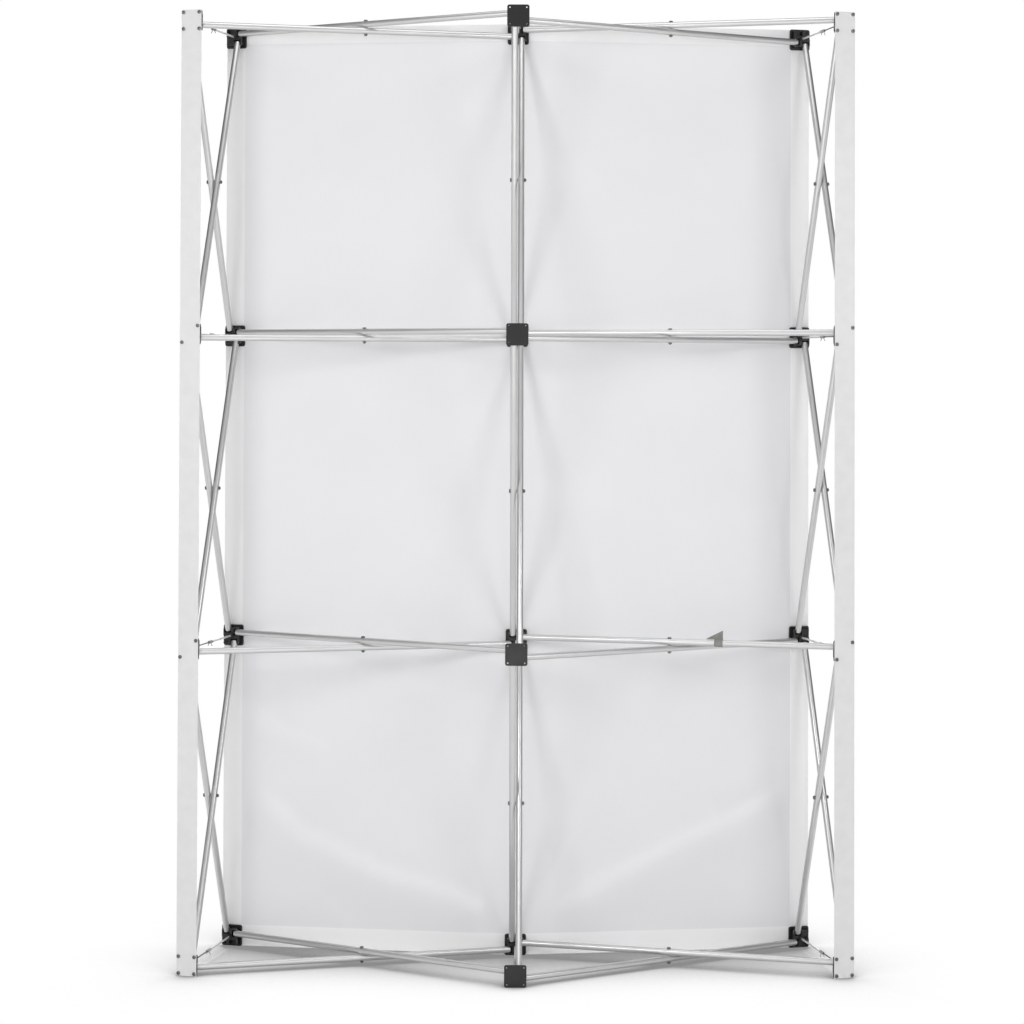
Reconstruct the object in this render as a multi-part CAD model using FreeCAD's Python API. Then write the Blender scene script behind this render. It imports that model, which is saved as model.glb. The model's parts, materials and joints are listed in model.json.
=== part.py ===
import FreeCAD, Part

import math
import os

# A folding display wall: a curved scissor frame, its cloth panel and two end strips.
# +X to the right as seen from behind, +Y from the frame towards the cloth, +Z up.
# The origin is on the floor, in the middle of the box that holds the whole wall.
# Columns are left, centre and right. Rows of hubs and bays are counted from the floor.

# Driving dimensions of the open frame, in millimetres and degrees
bay_rows = 3
row_pitch = 728.0
frame_depth = 258.0
column_turn_deg = 13.9

# Hub moulding: an outer plate, and a core with four slots laid out as a pinwheel
hub_width = 51.0
hub_corner_radius = 5.0
plate_thickness = 4.0
plate_edge_round = 1.2
core_inset = 6.5
core_corner_radius = 3.2
core_depth = 18.5
pivot_to_plate = 14.0
pivot_offset = 16.5
slot_clearance = 0.5
slot_root = 7.6
slot_floor_rise = 4.5
boss_radius = 6.5
boss_length = 5.0

# Screw holes through the plate's corners
corner_hole_offset = 19.3
corner_hole_radius = 1.7

# Pivot pins of the hubs
pin_radius = 2.0
pin_cheek = 3.0
pin_fit = 0.05

# Tubes and their end plugs
tube_radius = 7.5
tube_wall = 1.0
tube_gap = 1.0
tube_beyond_pivot = 3.5
plug_beyond_tube = 1.5
plug_end_round = 1.0
plug_reach = 22.0
plug_fit = 0.05
open_pivot_slack = 2.4

# Mid pivot screws, washers and nuts
screw_radius = 2.0
screw_fit = 0.1
screw_head_radius = 4.6
screw_head_height = 3.0
screw_head_round = 1.4
nut_across_flats = 7.6
nut_height = 3.2
screw_tip = 1.4
washer_radius = 5.0
washer_thickness = 0.6

# Lock rods between each back hub and its front hub
rod_seat = 9.0
rod_fit = 0.1
back_rod_radius = 1.6
back_rod_length = 110.0
front_rod_radius = 2.4
latch_radius = 3.6
latch_length = 20.0
latch_lap = 4.0
latch_bore_radius = 2.6
latch_engagement = 9.0
prong_radius = 0.9
prong_length = 11.0
prong_splay_deg = 24.0
prong_place = 8.0
prong_root = 1.0

# Cloth panel and the hook pads that hold it
pad_width = 44.0
pad_thickness = 0.8
pad_corner_radius = 4.0
cloth_gap = 0.3
cloth_thickness = 1.2
cloth_edge_gap = 1.0
cloth_centre_bulge = 12.0

# End strips and their screws
strip_width = 49.0
strip_thickness = 1.6
strip_seat_gap = 0.2
strip_end_gap = 0.5
strip_screw_radius = 1.5
strip_hole_radius = 2.0
strip_screw_depth = 7.0
strip_head_radius = 4.3
strip_head_height = 2.6
strip_head_round = 1.6

# Grey tab round one pair of rails
tab_place_share = 0.635
tab_width = 39.0
tab_height = 21.0
tab_thickness = 1.0
tab_loop_gap = 0.4
tab_loop_width = 20.0

overrun = 2.0

# Sizes that follow
column_turn = math.radians(column_turn_deg)
half_turn = column_turn / 2
tube_side = tube_radius + tube_gap / 2
slot_width = 2 * (tube_radius + slot_clearance)
slot_near = tube_side - slot_width / 2
hub_half = hub_width / 2
plate_face = pivot_to_plate + plate_thickness
core_face = core_depth - pivot_to_plate
post_reach = row_pitch - 2 * pivot_offset
tube_length = math.hypot(frame_depth, post_reach)
chord_gap = 2 * frame_depth * math.sin(half_turn)
back_reach = chord_gap / 2 + math.hypot(post_reach, chord_gap / 2)
front_reach = back_reach - chord_gap
rail_offset = 2 * pivot_offset * math.cos(half_turn)
back_chord = back_reach + rail_offset
front_chord = front_reach + rail_offset
rail_crossing = tube_length * front_reach / (front_reach + back_reach)
post_crossing = tube_length / 2
total_height = bay_rows * row_pitch + hub_width
cloth_face = plate_face + pad_thickness + cloth_gap
rod_span = frame_depth - 2 * core_face

# The whole wall's box is centred on the origin
behind = frame_depth + plate_face
ahead = (
    front_chord * math.sin(half_turn)
    + (cloth_face + cloth_thickness) * math.cos(column_turn)
    + hub_half * math.sin(column_turn)
)
front_line = (behind - ahead) / 2

COLUMNS = {"left": -1, "centre": 0, "right": 1}
ROWS = range(1, bay_rows + 2)

ORIGIN = FreeCAD.Vector(0, 0, 0)
UP = FreeCAD.Vector(0, 0, 1)
INWARD = FreeCAD.Vector(0, 1, 0)


def block(x_low, x_high, y_low, y_high, z_low, z_high):
    """A box between two corners."""
    corner = FreeCAD.Vector(x_low, y_low, z_low)
    return Part.makeBox(x_high - x_low, y_high - y_low, z_high - z_low, corner)


def bar(start, end, radius):
    """A round bar from one point to another."""
    along = end.sub(start)
    return Part.makeCylinder(radius, along.Length, start, along)


def rounded_plate(width, y_low, y_high, radius):
    """A square plate across Y with rounded corners, centred on the Y axis."""
    half = width / 2
    plate = block(-half, half, y_low, y_high, -half, half)
    edges = [e for e in plate.Edges if max(e.BoundBox.XLength, e.BoundBox.ZLength) < half]
    return plate.makeFillet(radius, edges)


def quarter_turns(shape):
    """The shape and its three copies, a quarter turn apart about the Y axis."""
    copies = []
    for turn in range(4):
        copy = shape.copy()
        copy.rotate(ORIGIN, FreeCAD.Vector(0, -1, 0), 360 * turn / 4)
        copies.append(copy)
    return copies


# Hub parts, modelled as a back hub: its plate faces -Y and its pivots lie at Y = 0
def hub_moulding():
    """The plate and the slotted core, in one piece."""
    plate = rounded_plate(hub_width, -plate_face, -pivot_to_plate, hub_corner_radius)
    rim = [e for e in plate.Edges if e.BoundBox.YMax < -pivot_to_plate - plate_thickness / 2]
    plate = plate.makeFillet(plate_edge_round, rim)
    core = rounded_plate(hub_width - 2 * core_inset, -pivot_to_plate, core_face, core_corner_radius)
    boss = bar(INWARD * core_face, INWARD * (core_face + boss_length), boss_radius)
    hub = plate.fuse(core).fuse(boss)
    slot = block(
        slot_root,
        hub_half + overrun,
        -pivot_to_plate + slot_floor_rise,
        core_face + boss_length + overrun,
        -slot_near - slot_width,
        -slot_near,
    )
    pin_at = FreeCAD.Vector(pivot_offset, 0, 0)
    pin_low = pin_at - UP * (slot_near + slot_width + pin_cheek)
    pin_high = pin_at + UP * (pin_cheek - slot_near)
    pin_hole = bar(pin_low, pin_high, pin_radius + pin_fit)
    corner = FreeCAD.Vector(corner_hole_offset, 0, corner_hole_offset)
    hole = bar(
        corner - INWARD * (plate_face + overrun), corner - INWARD * (pivot_to_plate - overrun), corner_hole_radius
    )
    rod_hole = bar(
        INWARD * (core_face - rod_seat),
        INWARD * (core_face + boss_length + overrun),
        max(back_rod_radius, front_rod_radius) + rod_fit,
    )
    cuts = quarter_turns(slot) + quarter_turns(pin_hole) + quarter_turns(hole) + [rod_hole]
    return hub.cut(Part.makeCompound(cuts)).removeSplitter()


def hub_pins(sides):
    """Pivot pins for the slots that hold a tube: right, up, left and down."""
    pin_at = FreeCAD.Vector(pivot_offset, 0, 0)
    pin = bar(
        pin_at - UP * (slot_near + slot_width + pin_cheek),
        pin_at + UP * (pin_cheek - slot_near),
        pin_radius,
    )
    return [p for p, side in zip(quarter_turns(pin), ("right", "up", "left", "down")) if side in sides]


def back_lock_rod():
    """The wire half of a lock rod, and the latch with two prongs on its end."""
    latch_start = core_face + back_rod_length - latch_lap
    wire = bar(INWARD * (core_face - rod_seat), INWARD * (latch_start + latch_lap), back_rod_radius)
    latch = bar(INWARD * latch_start, INWARD * (latch_start + latch_length), latch_radius)
    mouth = latch_start + latch_length
    bore = bar(
        INWARD * (mouth - latch_engagement - latch_lap), INWARD * (mouth + overrun), latch_bore_radius
    )
    latch = latch.cut(bore)
    prongs = []
    for side in (-1, 1):
        splay = math.radians(prong_splay_deg) * side
        along = FreeCAD.Vector(math.sin(splay), 0, -math.cos(splay))
        root = FreeCAD.Vector(side * prong_root, latch_start + prong_place, 0)
        prongs.append(bar(root + along * latch_bore_radius, root + along * prong_length, prong_radius))
    for prong in prongs:
        latch = latch.fuse(prong)
    return [wire.fuse(latch.cut(bore)).removeSplitter()]


def front_lock_rod():
    """The thicker half of a lock rod, whose tip sits in the latch. Modelled from a back hub."""
    mouth = rod_span - (back_rod_length - latch_lap + latch_length)
    tip = core_face + mouth + latch_engagement
    return [bar(INWARD * (core_face - rod_seat), INWARD * tip, front_rod_radius)]


def domed_head(start, along, radius, height, rounding):
    """A screw head with a rounded rim that stands on start and points along."""
    head = Part.makeCylinder(radius, height, start, along)
    top = start + along * height
    rim = [e for e in head.Edges if e.Curve.TypeId == "Part::GeomCircle" and e.CenterOfMass.sub(top).Length < rounding]
    return head.makeFillet(rounding, rim)


def strip_screws(corners):
    """Screws that hold the end strip to a hub's plate, at the corners asked for."""
    screws = []
    seat = -plate_face - strip_seat_gap - strip_thickness
    for x_side, z_side in corners:
        at = FreeCAD.Vector(x_side * corner_hole_offset, seat, z_side * corner_hole_offset)
        shank = bar(at, at + INWARD * strip_screw_depth, strip_screw_radius)
        head = domed_head(at, -INWARD, strip_head_radius, strip_head_height, strip_head_round)
        screws.append(shank.fuse(head))
    return screws


def hook_pad():
    """The hook pad on a front hub's face. Modelled on a back hub."""
    pad = rounded_plate(pad_width, -plate_face - pad_thickness, -plate_face, pad_corner_radius)
    return [pad]


# Tube parts, modelled along Y from the front hub's pivot. Their pivots point along Z,
# and +Z is the side away from the tube that crosses this one.
def pivot_hole(at, is_open):
    """The hole for a hub's pin through a tube's end. An open one is wide."""
    hole_radius = pin_radius + (open_pivot_slack if is_open else pin_fit)
    reach = UP * (tube_radius + overrun)
    return bar(at - reach, at + reach, hole_radius)


def tube_wall_solid(crossing, opening):
    """The aluminium tube, past its pivots at both ends, with holes for the two pins and the mid pivot screw."""
    low, high = -INWARD * tube_beyond_pivot, INWARD * (tube_length + tube_beyond_pivot)
    outer = bar(low, high, tube_radius)
    bore = bar(low - INWARD * overrun, high + INWARD * overrun, tube_radius - tube_wall)
    middle = INWARD * crossing
    reach = UP * (tube_radius + overrun)
    hole = bar(middle - reach, middle + reach, screw_radius + screw_fit)
    pins = [pivot_hole(ORIGIN, opening == "front"), pivot_hole(INWARD * tube_length, opening == "back")]
    return outer.cut(Part.makeCompound([bore, hole] + pins))


def end_plug(is_open):
    """The plug in a tube's end. The hub's pin goes through it and the tube."""
    start = -INWARD * (tube_beyond_pivot + plug_beyond_tube)
    plug = bar(start, INWARD * plug_reach, tube_radius - tube_wall - plug_fit)
    rim = [e for e in plug.Edges if e.BoundBox.YMax < 0]
    return plug.makeFillet(plug_end_round, rim).cut(pivot_hole(ORIGIN, is_open))


def far_end(shape):
    """A plug moved from the tube's start to its other end."""
    copy = shape.copy()
    copy.rotate(ORIGIN, UP, 180)
    copy.translate(INWARD * tube_length)
    return copy


def mid_screw(crossing, full):
    """Head and shank of the mid pivot screw. A full one goes through both tubes."""
    middle = INWARD * crossing
    top = middle + UP * tube_radius
    inner = -tube_side
    if full:
        inner = -2 * tube_side - tube_radius - nut_height - screw_tip
    shank = bar(middle + UP * inner, top, screw_radius)
    head = domed_head(top, UP, screw_head_radius, screw_head_height, screw_head_round)
    washer = bar(
        middle - UP * (tube_side + washer_thickness / 2),
        middle - UP * (tube_side - washer_thickness / 2),
        washer_radius,
    )
    washer = washer.cut(bar(middle - UP * tube_length, middle, screw_radius + screw_fit))
    return [shank.fuse(head), washer]


def hexagon_nut(crossing, is_far):
    """The nut of a mid pivot, seated on its own tube or on the far tube."""
    middle = INWARD * crossing
    across = nut_across_flats / math.sqrt(3)
    seat = UP * tube_radius
    if is_far:
        seat = -UP * (2 * tube_side + tube_radius + nut_height)
    points = []
    for corner in range(7):
        angle = 2 * math.pi * corner / 6
        offset = FreeCAD.Vector(across * math.cos(angle), across * math.sin(angle), 0)
        points.append(middle + seat + offset)
    nut = Part.Face(Part.makePolygon(points)).extrude(UP * nut_height)
    return nut.cut(bar(middle - UP * tube_length, middle + UP * tube_length, screw_radius))


def nut_side(crossing):
    """The nut and the short end of a mid pivot screw, on the second tube of a pair."""
    middle = INWARD * crossing
    tip = tube_radius + nut_height + screw_tip
    shank = bar(middle - UP * tube_radius, middle + UP * tip, screw_radius)
    return [shank, hexagon_nut(crossing, False)]


def tube_set(crossing, opening, screw):
    """All solids of one tube node, before it is placed."""
    solids = [tube_wall_solid(crossing, opening), end_plug(opening == "front"), far_end(end_plug(opening == "back"))]
    if screw == "full":
        solids += mid_screw(crossing, True) + [hexagon_nut(crossing, True)]
    elif screw == "head":
        solids += mid_screw(crossing, False)
    elif screw == "nut":
        solids += nut_side(crossing)
    return solids


# Where the hubs stand
def column_angle(column):
    return column * column_turn


def side_line(column):
    """Unit vector along a column's hubs, from left to right."""
    angle = column_angle(column)
    return FreeCAD.Vector(math.cos(angle), math.sin(angle), 0)


def facing(column):
    """Unit vector from a column's back hubs to its front hubs."""
    angle = column_angle(column)
    return FreeCAD.Vector(-math.sin(angle), math.cos(angle), 0)


def row_height(row):
    return hub_half + (row - 1) * row_pitch


def hub_centre(layer, column, row):
    """The middle of a hub's four pivots."""
    x = column * front_chord * math.cos(half_turn)
    y = front_line + abs(column) * front_chord * math.sin(half_turn)
    centre = FreeCAD.Vector(x, y, row_height(row))
    if layer == "back":
        centre = centre - facing(column) * frame_depth
    return centre


def placed(shape, origin, x_axis, y_axis):
    """A copy of the shape with its own axes laid along the given ones."""
    z_axis = x_axis.cross(y_axis)
    matrix = FreeCAD.Matrix(
        x_axis.x, y_axis.x, z_axis.x, origin.x,
        x_axis.y, y_axis.y, z_axis.y, origin.y,
        x_axis.z, y_axis.z, z_axis.z, origin.z,
        0, 0, 0, 1,
    )  # fmt: skip
    copy = shape.copy()
    copy.Placement = FreeCAD.Placement(matrix) * shape.Placement
    return copy


def export(name, solids):
    """Writes one node."""
    Part.makeCompound(solids).exportStep(f"parts/{name}.step")


# The nodes
def hub_sides(column, row):
    """The slots of a hub that hold a tube, as seen from behind the wall."""
    sides = {
        "right": column < max(COLUMNS.values()),
        "left": column > min(COLUMNS.values()),
        "up": row < bay_rows + 1,
        "down": row > 1,
    }
    return {side for side, held in sides.items() if held}


def export_hubs():
    moulding = hub_moulding()
    back_rod, front_rod, pad = back_lock_rod(), front_lock_rod(), hook_pad()
    swapped = {"right": "left", "left": "right", "up": "up", "down": "down"}
    every_corner = [(-1, -1), (-1, 1), (1, -1), (1, 1)]
    two_corners = [(1, 1), (-1, -1)]
    for column_name, column in COLUMNS.items():
        for row in ROWS:
            sides = hub_sides(column, row)
            back = [moulding] + hub_pins(sides) + back_rod
            if column:
                ends = row in (1, bay_rows + 1)
                back += strip_screws(every_corner if ends else two_corners)
            front = [moulding] + hub_pins({swapped[s] for s in sides}) + front_rod + pad
            for layer, solids, turn in (("back", back, 1), ("front", front, -1)):
                at = hub_centre(layer, column, row)
                x_axis, y_axis = side_line(column) * turn, facing(column) * turn
                name = f"hub_{layer}_{column_name}_{row}"
                export(name, [placed(s, at, x_axis, y_axis) for s in solids])


def tube_between(solids, start, end, outward):
    """The solids of a tube laid from start to end, with their +Z along outward."""
    along = end.sub(start)
    y_axis = along * (1 / along.Length)
    return [placed(s, start, y_axis.cross(outward), y_axis) for s in solids]


def export_rails():
    """Crossed pairs between neighbouring columns, with upright pivots."""
    pairs = {"going_back": ("head", 1), "going_front": ("nut", -1)}
    masters = {word: tube_set(rail_crossing, None, screw) for word, (screw, _) in pairs.items()}
    for bay, left_column in (("left", -1), ("right", 0)):
        for row in ROWS:
            for word, (_, side) in pairs.items():
                layers = ("front", "back") if word == "going_back" else ("back", "front")
                ends = {}
                for layer, column, step in zip(layers, (left_column, left_column + 1), (1, -1)):
                    offset = side_line(column) * (pivot_offset * step) + UP * (tube_side * side)
                    ends[layer] = hub_centre(layer, column, row) + offset
                solids = tube_between(masters[word], ends["front"], ends["back"], UP * side)
                if (bay, row, word) == ("right", 2, "going_back"):
                    solids += grey_tab(ends["front"], ends["back"])
                export(f"rail_{bay}_{row}_{word}", solids)


def export_posts():
    """Crossed pairs between neighbouring rows, with pivots from side to side."""
    pairs = {"rising_back": ("head", -1), "rising_front": ("nut", 1)}
    outer = {
        word: tube_set(post_crossing, "back" if word == "rising_back" else "front", screw)
        for word, (screw, _) in pairs.items()
    }
    centre = {
        "rising_back": tube_set(post_crossing, None, "full"),
        "rising_front": tube_set(post_crossing, None, None),
    }
    for column_name, column in COLUMNS.items():
        for bay in range(1, bay_rows + 1):
            for word, (_, side) in pairs.items():
                layers = ("front", "back") if word == "rising_back" else ("back", "front")
                ends = {}
                for layer, row, step in zip(layers, (bay, bay + 1), (1, -1)):
                    offset = side_line(column) * (tube_side * side) + UP * (pivot_offset * step)
                    ends[layer] = hub_centre(layer, column, row) + offset
                masters = outer if column else centre
                outward = side_line(column) * side
                solids = tube_between(masters[word], ends["front"], ends["back"], outward)
                export(f"post_{column_name}_{bay}_{word}", solids)


def grey_tab(front_end, back_end):
    """A loop of webbing round a pair of rails, with a triangular flag that stands on it."""
    along = back_end.sub(front_end)
    along = along * (1 / along.Length)
    across = along.cross(UP)
    at = front_end + along * (tube_length * tab_place_share)
    inner = tube_radius + tab_loop_gap
    ring = bar(-INWARD * (tab_loop_width / 2), INWARD * (tab_loop_width / 2), inner + tab_thickness)
    ring = ring.cut(bar(-INWARD * tab_loop_width, INWARD * tab_loop_width, inner))
    base = inner + tab_thickness / 2
    side, end = -tab_thickness / 2, tab_loop_width / 2
    points = [
        FreeCAD.Vector(side, end, base),
        FreeCAD.Vector(side, end - tab_width, base),
        FreeCAD.Vector(side, end, base + tab_height),
        FreeCAD.Vector(side, end, base),
    ]
    flag = Part.Face(Part.makePolygon(points)).extrude(FreeCAD.Vector(tab_thickness, 0, 0))
    return [placed(ring.fuse(flag), at, across, along)]


def cloth_points(height, bulge, lift):
    """The cloth's line seen from above, lift in front of its back, with its middle carried forward by bulge."""
    points = []
    for column in sorted(COLUMNS.values()):
        centre = hub_centre("front", column, 1) + facing(column) * (cloth_face + lift)
        centre = centre + INWARD * (0 if column else bulge)
        for side in (-1, 1):
            point = centre + side_line(column) * (side * hub_half)
            points.append(FreeCAD.Vector(point.x, point.y, height))
    return points


def flat_face(points):
    return Part.Face(Part.makePolygon(points + points[:1]))


def cloth_side(lines):
    """One side of the cloth: flat strips over the hubs, and between them panels folded from corner to corner."""
    faces = []
    for band, (low, high) in enumerate(zip(lines, lines[1:])):
        for place in range(len(low) - 1):
            corners = [low[place], low[place + 1], high[place + 1], high[place]]
            # a panel between two columns twists, so it is two triangles, folded towards the centre's pull
            twisted = place % 2 and abs(low[2].y - high[2].y) > 0
            if not twisted:
                faces.append(flat_face(corners))
            elif (place == 1) == (high[2].y > low[2].y):
                faces += [flat_face(corners[:3]), flat_face([corners[0]] + corners[2:])]
            else:
                faces += [flat_face(corners[1:]), flat_face([corners[3]] + corners[:2])]
    return faces


def export_cloth():
    """One sheet over the front hubs, held to each and carried forward between the rows."""
    levels = [(cloth_edge_gap, 0)]
    for row in ROWS[:-1]:
        levels.append((row_height(row) + hub_half, 0))
        levels.append((row_height(row) + row_pitch / 2, cloth_centre_bulge))
        levels.append((row_height(row + 1) - hub_half, 0))
    levels.append((total_height - cloth_edge_gap, 0))
    back = [cloth_points(height, bulge, 0) for height, bulge in levels]
    front = [cloth_points(height, bulge, cloth_thickness) for height, bulge in levels]
    faces = cloth_side(back) + cloth_side(front)
    faces += [flat_face(back[end] + front[end][::-1]) for end in (0, -1)]
    for end in (0, -1):
        faces.append(flat_face([line[end] for line in back] + [line[end] for line in front][::-1]))
    shell = Part.makeShell(faces)
    shell.sewShape()
    cloth = Part.Solid(Part.Shell(shell.Faces))
    if cloth.Volume < 0:
        cloth.reverse()
    export("fabric_panel", [cloth])


def export_strips():
    """The flat strips over the outer back hubs, with their screw holes."""
    strips = []
    for column in (-1, 1):
        y_near = -plate_face - strip_seat_gap - strip_thickness
        half = strip_width / 2
        low = strip_end_gap - hub_half
        strip = block(
            -half, half, y_near, y_near + strip_thickness, low, total_height - hub_half - strip_end_gap
        )
        holes = []
        for row in ROWS:
            ends = row in (1, bay_rows + 1)
            corners = [(-1, -1), (-1, 1), (1, -1), (1, 1)] if ends else [(1, 1), (-1, -1)]
            for x_side, z_side in corners:
                z = (row - 1) * row_pitch + z_side * corner_hole_offset
                at = FreeCAD.Vector(x_side * corner_hole_offset, y_near, z)
                holes.append(bar(at - INWARD * overrun, at + INWARD * (strip_thickness + overrun), strip_hole_radius))
        strip = strip.cut(Part.makeCompound(holes))
        at = hub_centre("back", column, 1)
        strips.append(placed(strip, at, side_line(column), facing(column)))
    export("end_strips", strips)


os.makedirs("parts", exist_ok=True)
export_hubs()
export_rails()
export_posts()
export_cloth()
export_strips()
print(f"tube length {tube_length:.1f}, back chord {back_chord:.1f}, front chord {front_chord:.1f}")
print(f"height {total_height:.1f}, front line {front_line:.2f}")
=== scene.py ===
# %% [markdown]
# # A curved banner wall, built on its CAD frame
# The wall is a folding frame of crossed aluminium tubes and square black hubs, with a
# white cloth stretched over its front hubs. The photograph shows it from behind.
# The CAD model says where every hub and tube is and how it moves, so this script only
# makes the looks: each moving body gets one finished mesh that replaces its plain solids.

# %% Load the frame and keep its box
import bpy
import bmesh
import json
import math
from mathutils import Matrix, Vector, noise

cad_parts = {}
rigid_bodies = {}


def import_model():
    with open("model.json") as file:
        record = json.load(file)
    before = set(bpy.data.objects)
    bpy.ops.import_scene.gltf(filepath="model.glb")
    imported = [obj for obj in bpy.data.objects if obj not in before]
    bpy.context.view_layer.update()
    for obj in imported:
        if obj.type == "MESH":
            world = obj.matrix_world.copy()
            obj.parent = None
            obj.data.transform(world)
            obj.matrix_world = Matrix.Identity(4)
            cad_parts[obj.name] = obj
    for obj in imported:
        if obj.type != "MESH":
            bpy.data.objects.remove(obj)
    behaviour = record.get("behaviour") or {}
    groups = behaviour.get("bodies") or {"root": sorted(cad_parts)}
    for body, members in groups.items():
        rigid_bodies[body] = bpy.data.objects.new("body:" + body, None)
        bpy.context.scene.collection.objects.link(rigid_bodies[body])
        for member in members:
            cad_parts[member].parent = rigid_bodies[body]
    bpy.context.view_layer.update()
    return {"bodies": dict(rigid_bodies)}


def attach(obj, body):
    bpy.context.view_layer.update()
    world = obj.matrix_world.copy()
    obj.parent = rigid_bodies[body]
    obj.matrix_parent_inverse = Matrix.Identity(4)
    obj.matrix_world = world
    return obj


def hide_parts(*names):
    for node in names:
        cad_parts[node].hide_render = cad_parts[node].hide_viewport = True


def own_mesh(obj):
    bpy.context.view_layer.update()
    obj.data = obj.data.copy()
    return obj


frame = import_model()
MM = 0.001

# %% [markdown]
# ## The wall's layout
# Every piece is placed by the same few lengths as the CAD: the row pitch, the depth
# between the hub layers, and the angle between two columns. The rest is worked out here
# from the rule of a scissor frame, that all tubes have one length, which keeps the
# pieces and the frame in one system.

# %% Lengths of the layout
ROW_PITCH, DEPTH, TURN = 728 * MM, 258 * MM, math.radians(13.9)
PIVOT_OFFSET, TUBE_SIDE, HUB_HALF = 16.5 * MM, 8 * MM, 25.5 * MM
PLATE_FACE, CORE_FACE, CLOTH_FRONT = 18 * MM, 4.5 * MM, 20.3 * MM
HOLE_PLACE = 19.3 * MM
ROWS, BAYS, COLUMNS = range(1, 5), range(1, 4), {"left": -1, "centre": 0, "right": 1}
UP = Vector((0, 0, 1))
post_reach = ROW_PITCH - 2 * PIVOT_OFFSET
TUBE_LENGTH = math.hypot(DEPTH, post_reach)
chord_gap = 2 * DEPTH * math.sin(TURN / 2)
back_reach = chord_gap / 2 + math.hypot(post_reach, chord_gap / 2)
front_reach = back_reach - chord_gap
FRONT_CHORD = front_reach + 2 * PIVOT_OFFSET * math.cos(TURN / 2)
RAIL_CROSSING = TUBE_LENGTH * front_reach / (front_reach + back_reach)
POST_CROSSING = TUBE_LENGTH / 2
reach_ahead = FRONT_CHORD * math.sin(TURN / 2) + CLOTH_FRONT * math.cos(TURN) + HUB_HALF * math.sin(TURN)
FRONT_LINE = (DEPTH + PLATE_FACE - reach_ahead) / 2
HEIGHT = 3 * ROW_PITCH + 2 * HUB_HALF
print(f"tubes {TUBE_LENGTH:.4f} m, hubs in front {FRONT_CHORD:.4f} m apart, height {HEIGHT:.3f} m")

# %% Where hubs and tubes stand
def side_line(column):
    return Vector((math.cos(column * TURN), math.sin(column * TURN), 0))


def facing(column):
    return Vector((-math.sin(column * TURN), math.cos(column * TURN), 0))


def hub_centre(layer, column, row):
    x = column * FRONT_CHORD * math.cos(TURN / 2)
    y = FRONT_LINE + abs(column) * FRONT_CHORD * math.sin(TURN / 2)
    centre = Vector((x, y, HUB_HALF + (row - 1) * ROW_PITCH))
    return centre - facing(column) * DEPTH if layer == "back" else centre


def axes(origin, x_axis, y_axis):
    """The matrix that stands a part at origin, with its own X and Y along the given axes."""
    place = Matrix((x_axis, y_axis, x_axis.cross(y_axis))).transposed().to_4x4()
    place.translation = origin
    return place


def pointing(start, direction):
    """The matrix that turns a part's own Z along direction and puts its foot at start."""
    return Matrix.Translation(start) @ Vector(direction).to_track_quat("Z", "Y").to_matrix().to_4x4()


print("back centre hub 1 at", [round(v, 4) for v in hub_centre("back", 0, 1)])

# %% [markdown]
# ## Camera
# The photograph is taken from behind, almost level, at 1.4 m above the floor and about
# 5.4 m away. The lens is long, so upright lines stay upright, and its picture is shifted
# down a little to hold the whole wall. These numbers come from a fit of the hubs' places
# in the photograph to the same hubs in the CAD.

# %% Camera
def linked(name, data):
    """A new object in the scene."""
    thing = bpy.data.objects.new(name, data)
    bpy.context.collection.objects.link(thing)
    return thing


bpy.context.scene.view_settings.view_transform = "Standard"
camera = linked("camera", bpy.data.cameras.new("camera"))
camera.location = (-0.0019, -5.4197, 1.3986)
camera.rotation_euler = (math.pi / 2 + 0.01647, -0.0033, 0)
camera.data.sensor_fit, camera.data.sensor_width = "HORIZONTAL", 36
camera.data.lens = 80.70
camera.data.shift_x, camera.data.shift_y = -0.00427, -0.17485
bpy.context.scene.camera = camera
print("camera", [round(v, 3) for v in camera.location], "lens", camera.data.lens)

# %% [markdown]
# ## Studio
# A white floor under a white background shows no horizon. An occlusion node darkens the
# floor only close to the wall, which gives soft contact shadows. The white comes from
# Light Path, so the camera and the metal see it while it adds no light to the wall. At
# the sides the metal sees less light, because in an all-white room it shows no shape.

# %% Node helpers
def feed(source, target):
    """Links a source to an input. A node stands for its first output."""
    target.id_data.links.new(source.outputs[0] if isinstance(source, bpy.types.Node) else source, target)


def node(tree, kind, *sources, **values):
    """A new node. Sources feed its first inputs in turn, and values are for settings and named inputs."""
    made = tree.nodes.new(kind)
    for key, value in values.items():
        label = key.replace("_", " ")
        if hasattr(made, key):
            setattr(made, key, value)
        elif isinstance(value, (bpy.types.Node, bpy.types.NodeSocket)):
            feed(value, made.inputs[label])
        else:
            made.inputs[label].default_value = value
    for count, source in enumerate(sources):
        feed(source, made.inputs[count])
    return made


def seen_rays(tree):
    """1 where a camera, glossy or transmission ray arrives, else 0; and what Light Path says."""
    path = node(tree, "ShaderNodeLightPath").outputs
    first = node(tree, "ShaderNodeMath", path["Is Camera Ray"], path["Is Glossy Ray"], operation="MAXIMUM")
    return node(tree, "ShaderNodeMath", first, path["Is Transmission Ray"], operation="MAXIMUM"), path


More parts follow.
